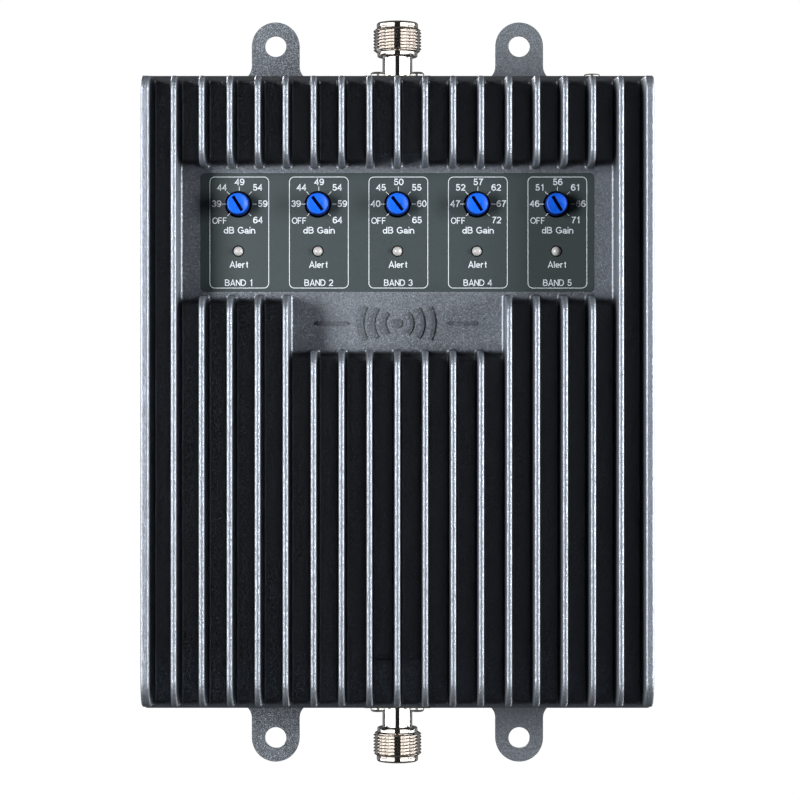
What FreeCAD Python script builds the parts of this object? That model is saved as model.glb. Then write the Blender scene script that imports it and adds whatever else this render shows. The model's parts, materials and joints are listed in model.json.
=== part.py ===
# Five-band cellular signal booster in a finned die-cast aluminium case,
# wall-mounted by four ears, with two N-type coaxial jacks and five gain knobs.
#
# Millimetres.  +Z is up along the fins, +X is to the right seen from the front,
# -Y is the finned front and +Y is the wall.  The origin is the centre of the
# four wall-screw holes, on the back face of the mounting plate (y = 0).
import FreeCAD, Part
import math
import os
from FreeCAD import Vector as V

os.makedirs("parts", exist_ok=True)

# ---------------------------------------------------------------- driving dimensions
# case
BACK_Y = -2.0            # back face of the casting, on the plate
FLOOR_Y = -22.0          # floor of the channels between the fins
FIN_TOP_Y = -38.0        # tops of the fins
CASE_HW_FRONT = 83.0     # half width at the channel floor
CASE_HW_BACK = 83.5      # half width at the back
CASE_HH_FRONT = 103.7    # half height at the channel floor
CASE_HH_BACK = 104.1     # half height at the back
CASE_CORNER_R = 1.0
CASE_END_R = 3.0         # rounding of the top and bottom front edges
CAV_HW = 80.0            # cavity half width
CAV_HH = 100.5           # cavity half height
CAV_Y = -19.0            # inner face of the case front
# fins
FIN_PITCH = 9.0
FIN_COUNT = 19
FIN_HALF_TOP = 0.885
FIN_DRAFT = math.tan(math.radians(1.4))
FIN_END_DRAFT = math.tan(math.radians(2.0))
FIN_END_Z = 102.5
FIN_END_R = 4.5          # rounding of the fins' corners at the upper end of the case
FIN_FOOT_R = 9.0         # longer rounding of the fins at the lower end
FIN_INNER_R = 6.0        # rounding where the fins stop at the panel
FIN_EDGE_R = 0.75
FIN_ROOT_R = 0.8
OUTER_FIN_TOP = (79.9, 82.6)
FIN_DEEP_Y = -20.5
# raised areas between the fins
PLATEAU_Y = -23.2
PANEL_Z = (30.1, 74.4)
LOGO_Z = 12.95
MARK_T = 0.5             # height of the embossed mark in the name area
LOWER_FIN_Z = 31.4
CENTRE_FIN_Z = 13.6
UPPER_FIN_Z = 73.1
SADDLE_Z = -87.7
# control panel
OVERLAY = (64.3, 32.8, 71.4)     # half width, low z, high z
OVERLAY_R = 1.3
OVERLAY_SEAT_Y = -22.3
OVERLAY_T = 0.5
BAND_PITCH = 26.0
KNOB_Z = 61.3
LED_Z = 46.0
KNOB_HOLE_R = 4.4
LED_HOLE_R = 1.9
# gain knobs
KNOB_R = 3.75
KNOB_TOP_Y = -27.5
KNOB_BASE_Y = -18.1
KNOB_SHAFT_R = 2.0
KNOB_SHAFT_Y = -13.9
KNOB_ANGLES = (148.0, 143.0, 142.0, 147.0, 148.0)   # clockwise from the top
# connectors
CONN_Y = -11.5
CONN_SEAT_Z = 101.5
N_THREAD_R = 15.875 / 2
# circuit board
PCB_HW = 71.5
PCB_HH = 92.0
PCB_Y = (-10.85, -9.25)
# mounting plate
PLATE_T = 2.0
PLATE_HW = 83.5
PLATE_HH = 104.1
EAR_X = 40.75
HOLE_Z = 115.75
HOLE_R = 3.55
EAR_R = 8.0
EAR_FILLET = 5.0

BANDS = [BAND_PITCH * (i - 2) for i in range(5)]


# ---------------------------------------------------------------- helpers
def box(x0, x1, y0, y1, z0, z1):
    return Part.makeBox(x1 - x0, y1 - y0, z1 - z0, V(x0, y0, z0))


def cyl_y(r, y0, y1, x, z):
    return Part.makeCylinder(r, y1 - y0, V(x, y0, z), V(0, 1, 0))


def cyl_z(r, z0, z1, x=0.0, y=CONN_Y):
    return Part.makeCylinder(r, z1 - z0, V(x, y, z0), V(0, 0, 1))


def wedge_y(y0, xa0, xa1, za0, za1, y1, xb0, xb1, zb0, zb1):
    return Part.makeWedge(xa0, y0, za0, zb0, xb0, xa1, y1, za1, zb1, xb1)


def rbox_y(x0, x1, y0, y1, z0, z1, r):
    """Box with its four edges along Y rounded."""
    b = box(x0, x1, y0, y1, z0, z1)
    es = [e for e in b.Edges
          if abs(e.Vertexes[0].Point.y - e.Vertexes[1].Point.y) > 1e-6]
    return b.makeFillet(r, es)


def circle_edges(shape, y=None, z=None, r=None, tol=1e-3):
    out = []
    for e in shape.Edges:
        c = e.Curve
        if not isinstance(c, Part.Circle):
            continue
        if y is not None and abs(c.Center.y - y) > tol:
            continue
        if z is not None and abs(c.Center.z - z) > tol:
            continue
        if r is not None and abs(c.Radius - r) > tol:
            continue
        out.append(e)
    return out


def mirror_down(shape):
    """The same part at the other end of the case."""
    return shape.mirror(V(0, 0, 0), V(0, 0, 1))


def save(name, shape):
    solids = shape.Solids
    out = solids[0] if len(solids) == 1 else Part.makeCompound(solids)
    bad = [s for s in solids if not s.isValid()]
    bb = out.BoundBox
    print("%-28s solids %2d  %s  volume %10.1f  x %.2f..%.2f  y %.2f..%.2f  z %.2f..%.2f" % (
        name, len(solids), "ok" if not bad else "INVALID", sum(s.Volume for s in solids),
        bb.XMin, bb.XMax, bb.YMin, bb.YMax, bb.ZMin, bb.ZMax))
    out.exportStep("parts/%s.step" % name)


# ---------------------------------------------------------------- finned case
def plateau(x0, x1, z0, z1, slope1=True):
    d = FIN_DEEP_Y - PLATEAU_Y
    w = wedge_y(PLATEAU_Y, x0, x1, z0, z1, FIN_DEEP_Y, x0, x1,
                z0 - d, z1 + (d if slope1 else 0.0))
    es = []
    for e in w.Edges:
        a, b = [v.Point for v in e.Vertexes]
        if abs(a.y - PLATEAU_Y) < 1e-4 and abs(b.y - PLATEAU_Y) < 1e-4 and abs(a.x - b.x) > 5:
            if abs(a.z - z0) < 1e-3 or (slope1 and abs(a.z - z1) < 1e-3):
                es.append(e)
    return w.makeFillet(2.0, es)


def case_base():
    b = wedge_y(FLOOR_Y, -CASE_HW_FRONT, CASE_HW_FRONT, -CASE_HH_FRONT, CASE_HH_FRONT,
                BACK_Y, -CASE_HW_BACK, CASE_HW_BACK, -CASE_HH_BACK, CASE_HH_BACK)
    es = [e for e in b.Edges if abs(e.Vertexes[0].Point.y - e.Vertexes[1].Point.y) > 10]
    b = b.makeFillet(CASE_CORNER_R, es)
    es = [e for e in b.Edges
          if all(abs(v.Point.y - FLOOR_Y) < 1e-4 for v in e.Vertexes)
          and abs(e.Vertexes[0].Point.x - e.Vertexes[1].Point.x) > 100]
    b = b.makeFillet(CASE_END_R, es)
    # the control panel and the name area stand 1.2 mm above the channel floor
    b = b.fuse([plateau(-8 * FIN_PITCH, 8 * FIN_PITCH, PANEL_Z[0], PANEL_Z[1]),
                plateau(-4 * FIN_PITCH, 4 * FIN_PITCH, LOGO_Z, 40.0, slope1=False)])
    b = b.removeSplitter()
    es = []
    for e in b.Edges:
        vs = e.Vertexes
        if len(vs) == 2 and all(abs(v.Point.y - FLOOR_Y) < 1e-3 for v in vs):
            a, c = vs[0].Point, vs[1].Point
            if abs(a.x - c.x) > 5 and abs(a.z - c.z) < 1e-3 and -100 < a.z < 100:
                es.append(e)
    b = b.makeFillet(2.0, es)
    # cable-side saddles: the two centre channels are 1.2 mm shallower towards the jacks
    for s in (1, -1):
        z_in = 60.0 if s > 0 else -SADDLE_Z
        sad = box(-FIN_PITCH, FIN_PITCH, PLATEAU_Y, FIN_DEEP_Y, z_in, CASE_HH_FRONT - 0.02)
        pad = box(-10.8, 10.8, PLATEAU_Y, FIN_DEEP_Y + 1.0, 100.6, CASE_HH_FRONT - 0.02)
        add = sad.fuse(pad).removeSplitter()
        if s < 0:
            add = add.mirror(V(0, 0, 0), V(0, 0, 1))
        es = [e for e in add.Edges
              if all(abs(v.Point.y - PLATEAU_Y) < 1e-4 and
                     abs(abs(v.Point.z) - (CASE_HH_FRONT - 0.02)) < 1e-3 for v in e.Vertexes)]
        add = add.makeFillet(2.6, es)
        b = b.fuse(add)
    return b.removeSplitter()


def fin(xl, xr, dl, dr, z0, z1, r0, r1):
    d_all = FIN_DEEP_Y - FIN_TOP_Y
    d_fl = FLOOR_Y - FIN_TOP_Y
    ez = FIN_END_DRAFT
    za0, za1 = z0 + ez * d_fl, z1 - ez * d_fl
    zb0, zb1 = z0 - ez * (d_all - d_fl), z1 + ez * (d_all - d_fl)
    w = wedge_y(FIN_TOP_Y, xl, xr, za0, za1,
                FIN_DEEP_Y, xl - dl * d_all, xr + dr * d_all, zb0, zb1)
    for zz, r in ((za0, r0), (za1, r1)):
        es = [e for e in w.Edges
              if all(abs(v.Point.y - FIN_TOP_Y) < 1e-4 and abs(v.Point.z - zz) < 1e-3
                     for v in e.Vertexes)]
        w = w.makeFillet(r, es)
    es = []
    for f in w.Faces:
        u0, u1, v0, v1 = f.ParameterRange
        if abs(f.normalAt((u0 + u1) / 2, (v0 + v1) / 2).x) > 0.95:
            for e in f.Edges:
                if not all(abs(v.Point.y - FIN_DEEP_Y) < 1e-3 for v in e.Vertexes):
                    es.append(e)
    return w.makeFillet(FIN_EDGE_R, es)


def rooted(base, f, x0, x1, xa, xb, z0, z1):
    """The fin on its own strip of the case, with the root rounded all the way round."""
    strip = base.common(box(x0, x1, -24.5, -19.5, -106, 106))
    g = strip.fuse(f)
    es = []
    for e in g.Edges:
        m = e.valueAt((e.FirstParameter + e.LastParameter) / 2)
        if -26 < m.y < -20.4 and xa < m.x < xb and z0 - 0.45 < m.z < z1 + 0.45 and e.Length > 0.05:
            es.append(e)
    for r in (FIN_ROOT_R, 0.6, 0.4):
        try:
            h = g.makeFillet(r, es)
            if h.isValid() and len(h.Solids) == 1:
                return h
        except Exception:
            pass
    print("  root rounding left off at x", round((xa + xb) / 2, 1), "z", z0, z1)
    return g


def build_case():
    base = case_base()
    pieces = []
    half = FIN_COUNT // 2
    for k in range(1, FIN_COUNT - 1):
        x = (k - half) * FIN_PITCH
        runs = []
        if k in (1, FIN_COUNT - 2):
            runs.append((-FIN_END_Z, FIN_END_Z, FIN_FOOT_R, FIN_END_R))
        else:
            runs.append((UPPER_FIN_Z, FIN_END_Z, FIN_INNER_R, FIN_END_R))
            top = CENTRE_FIN_Z if abs(k - half) <= 3 else LOWER_FIN_Z
            runs.append((-FIN_END_Z, top, FIN_FOOT_R, FIN_INNER_R))
        for z0, z1, r0, r1 in runs:
            f = fin(x - FIN_HALF_TOP, x + FIN_HALF_TOP, FIN_DRAFT, FIN_DRAFT, z0, z1, r0, r1)
            pieces.append(rooted(base, f, x - 4.5, x + 4.5, x - 1.6, x + 1.6, z0, z1))
    side = (CASE_HW_BACK - CASE_HW_FRONT) / (BACK_Y - FLOOR_Y)
    f = fin(OUTER_FIN_TOP[0], OUTER_FIN_TOP[1], FIN_DRAFT, side, -FIN_END_Z, FIN_END_Z,
            FIN_FOOT_R, FIN_END_R)
    right = rooted(base, f, 76.5, 84.0, 79.2, 80.6, -FIN_END_Z - 1, FIN_END_Z + 1)
    pieces += [right, right.mirror(V(0, 0, 0), V(1, 0, 0))]
    case = base.fuse(pieces)
    case = case.removeSplitter()

    # cavity, then everything that stands inside it
    case = case.cut(box(-CAV_HW, CAV_HW, CAV_Y, BACK_Y + 1, -CAV_HH, CAV_HH))
    inner = []
    for x, z in BACK_SCREWS:
        inner.append(cyl_y(4.0, CAV_Y - 0.5, BACK_Y, x, z))
    for x, z in BOARD_SCREWS:
        inner.append(cyl_y(3.0, CAV_Y - 0.5, PCB_Y[0], x, z))
    for z in (20.0, -60.0):
        inner.append(box(-58, 58, CAV_Y - 0.5, -12.75, z - 5, z + 5))
    for s in (1, -1):
        z0, z1 = (95.0, CAV_HH + 0.5) if s > 0 else (-CAV_HH - 0.5, -95.0)
        inner.append(box(-17.5, 17.5, CAV_Y - 0.5, BACK_Y, z0, z1))
    inner.append(box(60.0, 68.8, CAV_Y - 0.5, BACK_Y, 95.5, CAV_HH + 0.5))
    case = case.fuse(inner).removeSplitter()

    cuts = []
    # panel recess and its holes
    cuts.append(rbox_y(-OVERLAY[0] - 0.1, OVERLAY[0] + 0.1, PLATEAU_Y - 1, OVERLAY_SEAT_Y,
                       OVERLAY[1] - 0.1, OVERLAY[2] + 0.1, OVERLAY_R + 0.1))
    for x in BANDS:
        cuts.append(cyl_y(KNOB_HOLE_R, PLATEAU_Y - 1, CAV_Y + 0.5, x, KNOB_Z))
        cuts.append(cyl_y(LED_HOLE_R, PLATEAU_Y - 1, CAV_Y + 0.5, x, LED_Z))
    # groove at the foot of the lower saddle
    cuts.append(box(-FIN_PITCH + 1.9, -1.9, PLATEAU_Y - 0.5, FLOOR_Y + 0.5, SADDLE_Z - 0.1, SADDLE_Z + 0.6))
    cuts.append(box(1.9, FIN_PITCH - 1.9, PLATEAU_Y - 0.5, FLOOR_Y + 0.5, SADDLE_Z - 0.1, SADDLE_Z + 0.6))
    # jack seats
    for s in (1, -1):
        z0, z1 = (CONN_SEAT_Z, 106.0) if s > 0 else (-106.0, -CONN_SEAT_Z)
        cuts.append(box(-10.8, 10.8, -20.9, BACK_Y + 1, z0, z1))
        z0, z1 = (94.0, 106.0) if s > 0 else (-106.0, -94.0)
        cuts.append(cyl_z(4.1, z0, z1))
        for dx in (-6.35, 6.35):
            for dy in (-6.35, 6.35):
                z0, z1 = (96.5, 106.0) if s > 0 else (-106.0, -96.5)
                cuts.append(cyl_z(1.25, z0, z1, dx, CONN_Y + dy))
    # earth screw: spot face and hole
    cuts.append(cyl_z(3.6, 103.6, 106.0, GROUND_X, CONN_Y))
    cuts.append(cyl_z(1.55, 97.0, 106.0, GROUND_X, CONN_Y))
    # power jack hole
    cuts.append(cyl_z(4.1, -106.0, -99.0, JACK_X, CONN_Y))
    # screw holes
    for x, z in BACK_SCREWS:
        cuts.append(cyl_y(1.45, -11.0, BACK_Y + 1, x, z))
    for x, z in BOARD_SCREWS:
        cuts.append(cyl_y(1.5, -17.0, PCB_Y[0] + 1, x, z))
    # gasket groove
    cuts.append(gasket_ring(0.0, -2.8, BACK_Y + 1))
    case = case.cut(cuts)

    # embossed generic radio-wave mark: dot, three arcs each side and two bars
    marks = []
    zc = 22.4
    y0 = PLATEAU_Y - MARK_T
    marks.append(cyl_y(1.5, y0, PLATEAU_Y + 0.4, 0, zc))
    for r, half_deg in ((4.6, 46.0), (8.2, 36.0), (11.8, 27.0)):
        ring = cyl_y(r + 0.65, y0, PLATEAU_Y + 0.4, 0, zc).cut(cyl_y(r - 0.65, y0 - 1, PLATEAU_Y + 1, 0, zc))
        t = math.tan(math.radians(half_deg))
        for s in (1, -1):
            tri = Part.Face(Part.makePolygon([V(0, y0 - 0.5, zc), V(s * 20, y0 - 0.5, zc - 20 * t),
                                              V(s * 20, y0 - 0.5, zc + 20 * t), V(0, y0 - 0.5, zc)]))
            marks.append(ring.common(tri.extrude(V(0, 2, 0))))
    for s in (1, -1):
        a, b = (16.0, 26.0) if s > 0 else (-26.0, -16.0)
        marks.append(rbox_y(a, b, y0, PLATEAU_Y + 0.4, zc - 0.65, zc + 0.65, 0.6))
    case = case.fuse(marks).removeSplitter()
    return case


def gasket_ring(gap, y0, y1):
    def outline(hx, hz, nx, nz):
        b = box(-hx, hx, y0, y1, -hz, hz)
        return b.cut([box(-nx, nx, y0 - 1, y1 + 1, nz, 110), box(-nx, nx, y0 - 1, y1 + 1, -110, -nz)])
    o = outline(82.6 - gap, 103.2 - gap, 14.9 + gap, 98.6 - gap)
    i = outline(81.4 + gap, 102.0 + gap, 16.1 - gap, 97.4 + gap)
    return o.cut(i)


BACK_SCREWS = [(sx * 76.3, z) for sx in (-1, 1) for z in (-96.8, 0.0, 96.8)]
BACK_SCREWS += [(sx * 38.0, sz * 96.8) for sx in (-1, 1) for sz in (-1, 1)]
BOARD_SCREWS = [(sx * 66.0, z) for sx in (-1, 1) for z in (-86.0, 0.0, 86.0)]
BOARD_SCREWS += [(0.0, 33.0), (0.0, -35.0)]
GROUND_X = 64.4
JACK_X = 55.0

save("heatsink_housing", build_case())


# ---------------------------------------------------------------- mounting plate
def build_plate():
    plate = rbox_y(-PLATE_HW, PLATE_HW, -PLATE_T, 0.0, -PLATE_HH, PLATE_HH, 1.0)
    ears = []
    for sx in (-1, 1):
        for sz in (-1, 1):
            x = sx * EAR_X
            # blade and flared foot of the ear, drawn upwards and mirrored for the lower pair
            z0 = PLATE_HH
            r = EAR_FILLET
            pts_l, pts_r = V(x - EAR_R - r, 0, z0), V(x + EAR_R + r, 0, z0)
            c = math.sqrt(0.5)
            arc_l = Part.Arc(pts_l, V(x - EAR_R - r + r * c, 0, z0 + r - r * c),
                             V(x - EAR_R, 0, z0 + r)).toShape()
            arc_r = Part.Arc(V(x + EAR_R, 0, z0 + r), V(x + EAR_R + r - r * c, 0, z0 + r - r * c),
                             pts_r).toShape()
            up_l = Part.LineSegment(V(x - EAR_R, 0, z0 + r), V(x - EAR_R, 0, HOLE_Z)).toShape()
            up_r = Part.LineSegment(V(x + EAR_R, 0, HOLE_Z), V(x + EAR_R, 0, z0 + r)).toShape()
            tip = Part.Arc(V(x - EAR_R, 0, HOLE_Z), V(x, 0, HOLE_Z + EAR_R),
                           V(x + EAR_R, 0, HOLE_Z)).toShape()
            low = [Part.LineSegment(pts_r, V(x + EAR_R + r, 0, z0 - 3)).toShape(),
                   Part.LineSegment(V(x + EAR_R + r, 0, z0 - 3), V(x - EAR_R - r, 0, z0 - 3)).toShape(),
                   Part.LineSegment(V(x - EAR_R - r, 0, z0 - 3), pts_l).toShape()]
            wire = Part.Wire([arc_l, up_l, tip, up_r, arc_r] + low)
            ear = Part.Face(wire).extrude(V(0, -PLATE_T, 0))
            if sz < 0:
                ear = ear.mirror(V(0, 0, 0), V(0, 0, 1))
            ears.append(ear)
    plate = plate.fuse(ears).removeSplitter()
    cuts = []
    for sx in (-1, 1):
        for sz in (-1, 1):
            cuts.append(cyl_y(HOLE_R, -3, 1, sx * EAR_X, sz * HOLE_Z))
    for x, z in BACK_SCREWS:
        cuts.append(cyl_y(1.6, -3, 1, x, z))
        cuts.append(Part.makeCone(1.6, 2.85, 1.45, V(x, -1.45, z), V(0, 1, 0)))
    # shallow recess for the label
    cuts.append(rbox_y(-30.3, 30.3, -0.3, 1.0, -65.3, -24.7, 1.3))
    return plate.cut(cuts)


save("mounting_plate", build_plate())
save("rating_label", rbox_y(-30.0, 30.0, -0.3, -0.1, -65.0, -25.0, 1.0))
save("emi_gasket", gasket_ring(0.05, -2.8, BACK_Y))

screws = []
for x, z in BACK_SCREWS:
    s = Part.makeCone(1.4, 2.75, 1.35, V(x, -1.45, z), V(0, 1, 0))
    s = s.fuse(cyl_y(1.4, -9.0, -1.4, x, z))
    s = s.cut([box(x - 1.5, x + 1.5, -0.8, 0.2, z - 0.3, z + 0.3),
               box(x - 0.3, x + 0.3, -0.8, 0.2, z - 1.5, z + 1.5)])
    screws.append(s.removeSplitter())
save("back_cover_screws", Part.makeCompound(screws))

# ---------------------------------------------------------------- control panel overlay
ov = rbox_y(-OVERLAY[0], OVERLAY[0], OVERLAY_SEAT_Y - OVERLAY_T, OVERLAY_SEAT_Y,
            OVERLAY[1], OVERLAY[2], OVERLAY_R)
for x in BANDS:
    ov = ov.cut([cyl_y(KNOB_HOLE_R, -25, -20, x, KNOB_Z), cyl_y(LED_HOLE_R, -25, -20, x, LED_Z)])
save("control_overlay", ov)

# ---------------------------------------------------------------- circuit board and what it carries
pcb = rbox_y(-PCB_HW, PCB_HW, PCB_Y[0], PCB_Y[1], -PCB_HH, PCB_HH, 2.0)
pcb = pcb.cut([cyl_y(1.6, -12, -8, x, z) for x, z in BOARD_SCREWS])
save("main_circuit_board", pcb)

screws = []
for x, z in BOARD_SCREWS:
    h = cyl_y(2.75, PCB_Y[1], PCB_Y[1] + 1.85, x, z)
    h = h.makeFillet(0.6, circle_edges(h, y=PCB_Y[1] + 1.85))
    s = h.fuse(cyl_y(1.45, -16.0, PCB_Y[1] + 0.2, x, z))
    s = s.cut([box(x - 1.4, x + 1.4, PCB_Y[1] + 0.9, -7, z - 0.3, z + 0.3),
               box(x - 0.3, x + 0.3, PCB_Y[1] + 0.9, -7, z - 1.4, z + 1.4)])
    screws.append(s.removeSplitter())
save("board_screws", Part.makeCompound(screws))

for i, x in enumerate(BANDS):
    n = i + 1
    # trimmer body
    pot = box(x - 5, x + 5, -17.85, PCB_Y[0], KNOB_Z - 5, KNOB_Z + 5)
    es = [e for e in pot.Edges if abs(e.Vertexes[0].Point.y - e.Vertexes[1].Point.y) > 5]
    pot = pot.makeFillet(0.6, es)
    pot = pot.cut(cyl_y(KNOB_SHAFT_R + 0.05, -18.5, -13.85, x, KNOB_Z))
    save("gain_pot_%d" % n, pot)

    # knob with its shaft and an arrow-shaped driver slot
    k = cyl_y(KNOB_R, KNOB_TOP_Y, KNOB_BASE_Y, x, KNOB_Z)
    k = k.makeChamfer(0.45, circle_edges(k, y=KNOB_TOP_Y))
    k = k.fuse(cyl_y(KNOB_SHAFT_R, KNOB_BASE_Y - 0.5, KNOB_SHAFT_Y, x, KNOB_Z))
    slot = [box(x - 0.5, x + 0.5, KNOB_TOP_Y - 1, KNOB_TOP_Y + 1.0, KNOB_Z - 2.6, KNOB_Z + 2.6)]
    for s in (-1, 1):
        barb = box(x - 0.4, x + 0.4, KNOB_TOP_Y - 1, KNOB_TOP_Y + 1.0, KNOB_Z - 2.2, KNOB_Z + 0.1)
        barb.rotate(V(x, 0, KNOB_Z), V(0, 1, 0), s * 40.0)
        barb.translate(V(0, 0, 2.35))
        slot.append(barb)
    cutter = slot[0].fuse(slot[1:])
    cutter.rotate(V(x, 0, KNOB_Z), V(0, 1, 0), KNOB_ANGLES[i])
    k = k.cut(cutter).removeSplitter()
    save("gain_knob_%d" % n, k)

    # alert lamp: flanged dome on two legs
    led = cyl_y(1.55, -22.45, -17.8, x, LED_Z)
    led = led.fuse([Part.makeSphere(1.55, V(x, -22.45, LED_Z)),
                    cyl_y(1.95, -18.8, -17.8, x, LED_Z),
                    box(x - 0.885, x - 0.385, -18.0, PCB_Y[0], LED_Z - 0.25, LED_Z + 0.25),
                    box(x + 0.385, x + 0.885, -18.0, PCB_Y[0], LED_Z - 0.25, LED_Z + 0.25)])
    save("alert_led_%d" % n, led.removeSplitter())

sp = []
for x in BANDS:
    sp.append(cyl_y(2.5, -17.8, PCB_Y[0], x, LED_Z).cut(cyl_y(1.0, -18.5, -10, x, LED_Z)))
save("led_spacers", Part.makeCompound(sp))

save("power_amplifiers", Part.makeCompound(
    [box(x - 3, x + 3, -12.15, PCB_Y[0], z - 3, z + 3) for x in BANDS for z in (20.0, -60.0)]))
save("thermal_pads", Part.makeCompound(
    [box(x - 4, x + 4, -12.75, -12.15, z - 4, z + 4) for x in BANDS for z in (20.0, -60.0)]))
save("band_duplexers", Part.makeCompound(
    [rbox_y(x - 7, x + 7, -14.85, PCB_Y[0], z - 4.5, z + 4.5, 0.5) for x in BANDS for z in (76.5, -73.0)]))
save("control_chip", rbox_y(-35, -25, -12.05, PCB_Y[0], -15, -5, 0.3))
save("voltage_regulator", box(16.5, 23.5, -13.15, PCB_Y[0], -87.5, -80.5))
ind = rbox_y(34, 46, -16.85, PCB_Y[0], -90.5, -78.5, 1.5)
save("power_inductor", ind.cut(cyl_y(2.5, -17.5, -15.85, 40, -84.5)))
caps = []
for x, z in ((28.5, -84.5), (56.0, -83.0), (4.0, -84.5), (12.0, -84.5)):
    c = cyl_y(3.15, -17.85, PCB_Y[0], x, z)
    c = c.makeFillet(0.4, circle_edges(c, y=-17.85))
    caps.append(c)
save("filter_capacitors", Part.makeCompound(caps))
save("gain_amplifier_chips", Part.makeCompound(
    [box(x - 2.5, x + 2.5, PCB_Y[1], PCB_Y[1] + 0.9, z - 2.5, z + 2.5)
     for x in (-46.0, -20.0, 20.0, 46.0) for z in (-64.0, -32.0, 0.0, 32.0, 64.0)]))

for name, x0, x1 in (("uplink", -60.0, -6.0), ("downlink", 6.0, 60.0)):
    z0, z1 = -80.0, 80.0
    fr = box(x0, x1, PCB_Y[1], -4.65, z0, z1)
    cells = []
    for j in range(5):
        a = z0 + 0.4 + j * 32.0 - (0.2 if j else 0.0)
        b = z0 + (j + 1) * 32.0 - (0.4 if j == 4 else 0.2)
        cells.append(box(x0 + 0.4, x1 - 0.4, PCB_Y[1] - 1, -4, a, b))
    save("%s_shield_frame" % name, fr.cut(cells))
    lid = box(x0 - 0.35, x1 + 0.35, -6.6, -4.35, z0 - 0.35, z1 + 0.35)
    lid = lid.cut(box(x0 - 0.05, x1 + 0.05, -7.5, -4.65, z0 - 0.05, z1 + 0.05))
    es = [e for e in lid.Edges if all(abs(v.Point.y + 4.35) < 1e-4 for v in e.Vertexes)]
    save("%s_shield_lid" % name, lid.makeFillet(0.2, es))


# ---------------------------------------------------------------- N-type jacks
def n_body():
    b = cyl_z(4.0, 95.0, 101.6)
    fl = box(-8.75, 8.75, CONN_Y - 8.75, CONN_Y + 8.75, CONN_SEAT_Z, CONN_SEAT_Z + 1.6)
    es = [e for e in fl.Edges if abs(e.Vertexes[0].Point.z - e.Vertexes[1].Point.z) > 1]
    fl = fl.makeFillet(1.0, es)
    rim = cyl_z(6.85, 120.0, 122.2)
    rim = rim.makeFillet(0.6, circle_edges(rim, z=122.2))
    b = b.fuse([fl, cyl_z(4.95, 103.0, 110.9), cyl_z(6.65, 110.8, 112.4),
                cyl_z(N_THREAD_R, 112.3, 120.2), rim]).removeSplitter()
    cuts = [cyl_z(3.45, 94.0, 123.0), cyl_z(4.03, 113.2, 123.0)]
    for dx in (-6.35, 6.35):
        for dy in (-6.35, 6.35):
            cuts.append(cyl_z(1.35, 100.0, 104.0, dx, CONN_Y + dy))
    return b.cut(cuts)


def n_insulator():
    return cyl_z(3.4, 95.0, 112.6).cut(cyl_z(1.57, 94.0, 114.0))


def n_pin():
    p = cyl_z(1.52, 96.0, 120.8)
    p = p.makeFillet(0.25, circle_edges(p, z=120.8))
    p = p.fuse(cyl_z(0.65, 88.0, 96.5)).removeSplitter()
    return p.cut([cyl_z(0.83, 115.0, 121.5),
                  box(-0.12, 0.12, CONN_Y - 2, CONN_Y + 2, 116.5, 121.5),
                  box(-2, 2, CONN_Y - 0.12, CONN_Y + 0.12, 116.5, 121.5)])


def n_screws():
    out = []
    for dx in (-6.35, 6.35):
        for dy in (-6.35, 6.35):
            x, y = dx, CONN_Y + dy
            h = cyl_z(2.5, CONN_SEAT_Z + 1.6, CONN_SEAT_Z + 3.6, x, y)
            h = h.makeFillet(0.9, circle_edges(h, z=CONN_SEAT_Z + 3.6))
            s = h.fuse(cyl_z(1.2, 97.2, CONN_SEAT_Z + 1.8, x, y))
            s = s.cut([box(x - 1.3, x + 1.3, y - 0.3, y + 0.3, CONN_SEAT_Z + 2.5, 107),
                       box(x - 0.3, x + 0.3, y - 1.3, y + 1.3, CONN_SEAT_Z + 2.5, 107)])
            out.append(s.removeSplitter())
    return Part.makeCompound(out)


for name, turn in (("outside", False), ("inside", True)):
    for piece, make in (("body", n_body), ("insulator", n_insulator),
                        ("pin", n_pin), ("screws", n_screws)):
        s = make()
        save("%s_connector_%s" % (name, piece), mirror_down(s) if turn else s)

# ---------------------------------------------------------------- earth screw
w = cyl_z(3.3, 103.6, 103.9, GROUND_X, CONN_Y).cut(cyl_z(1.6, 103.0, 104.5, GROUND_X, CONN_Y))
save("ground_washer", w)
h = cyl_z(2.65, 103.9, 105.2, GROUND_X, CONN_Y)
h = h.makeFillet(0.5, circle_edges(h, z=105.2))
h = h.fuse(cyl_z(1.5, 97.6, 104.2, GROUND_X, CONN_Y))
h = h.cut([box(GROUND_X - 1.4, GROUND_X + 1.4, CONN_Y - 0.3, CONN_Y + 0.3, 104.6, 106),
           box(GROUND_X - 0.3, GROUND_X + 0.3, CONN_Y - 1.4, CONN_Y + 1.4, 104.6, 106)])
save("ground_screw", h.removeSplitter())

# ---------------------------------------------------------------- power jack in the lower end wall
j = cyl_z(4.0, -103.6, -99.5, JACK_X, CONN_Y)
j = j.fuse(Part.makeBox(10.0, 10.0, 6.5, V(JACK_X - 5, CONN_Y - 5, -100.5))).removeSplitter()
j = j.cut([cyl_z(2.85, -104.0, -94.8, JACK_X, CONN_Y)])
j = j.cut([box(JACK_X - 1.9, JACK_X - 0.9, -11.7, PCB_Y[0] + 0.05, -95.0, -93.0),
           box(JACK_X + 0.9, JACK_X + 1.9, -11.7, PCB_Y[0] + 0.05, -95.0, -93.0),
           cyl_z(0.55, -95.5, -94.3, JACK_X, CONN_Y)])
save("power_jack", j)
p = cyl_z(1.0, -102.6, -94.8, JACK_X, CONN_Y)
p = p.makeFillet(0.4, circle_edges(p, z=-102.6))
p = p.fuse(cyl_z(0.5, -95.0, -94.4, JACK_X, CONN_Y)).removeSplitter()
save("power_jack_pin", p)
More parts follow.
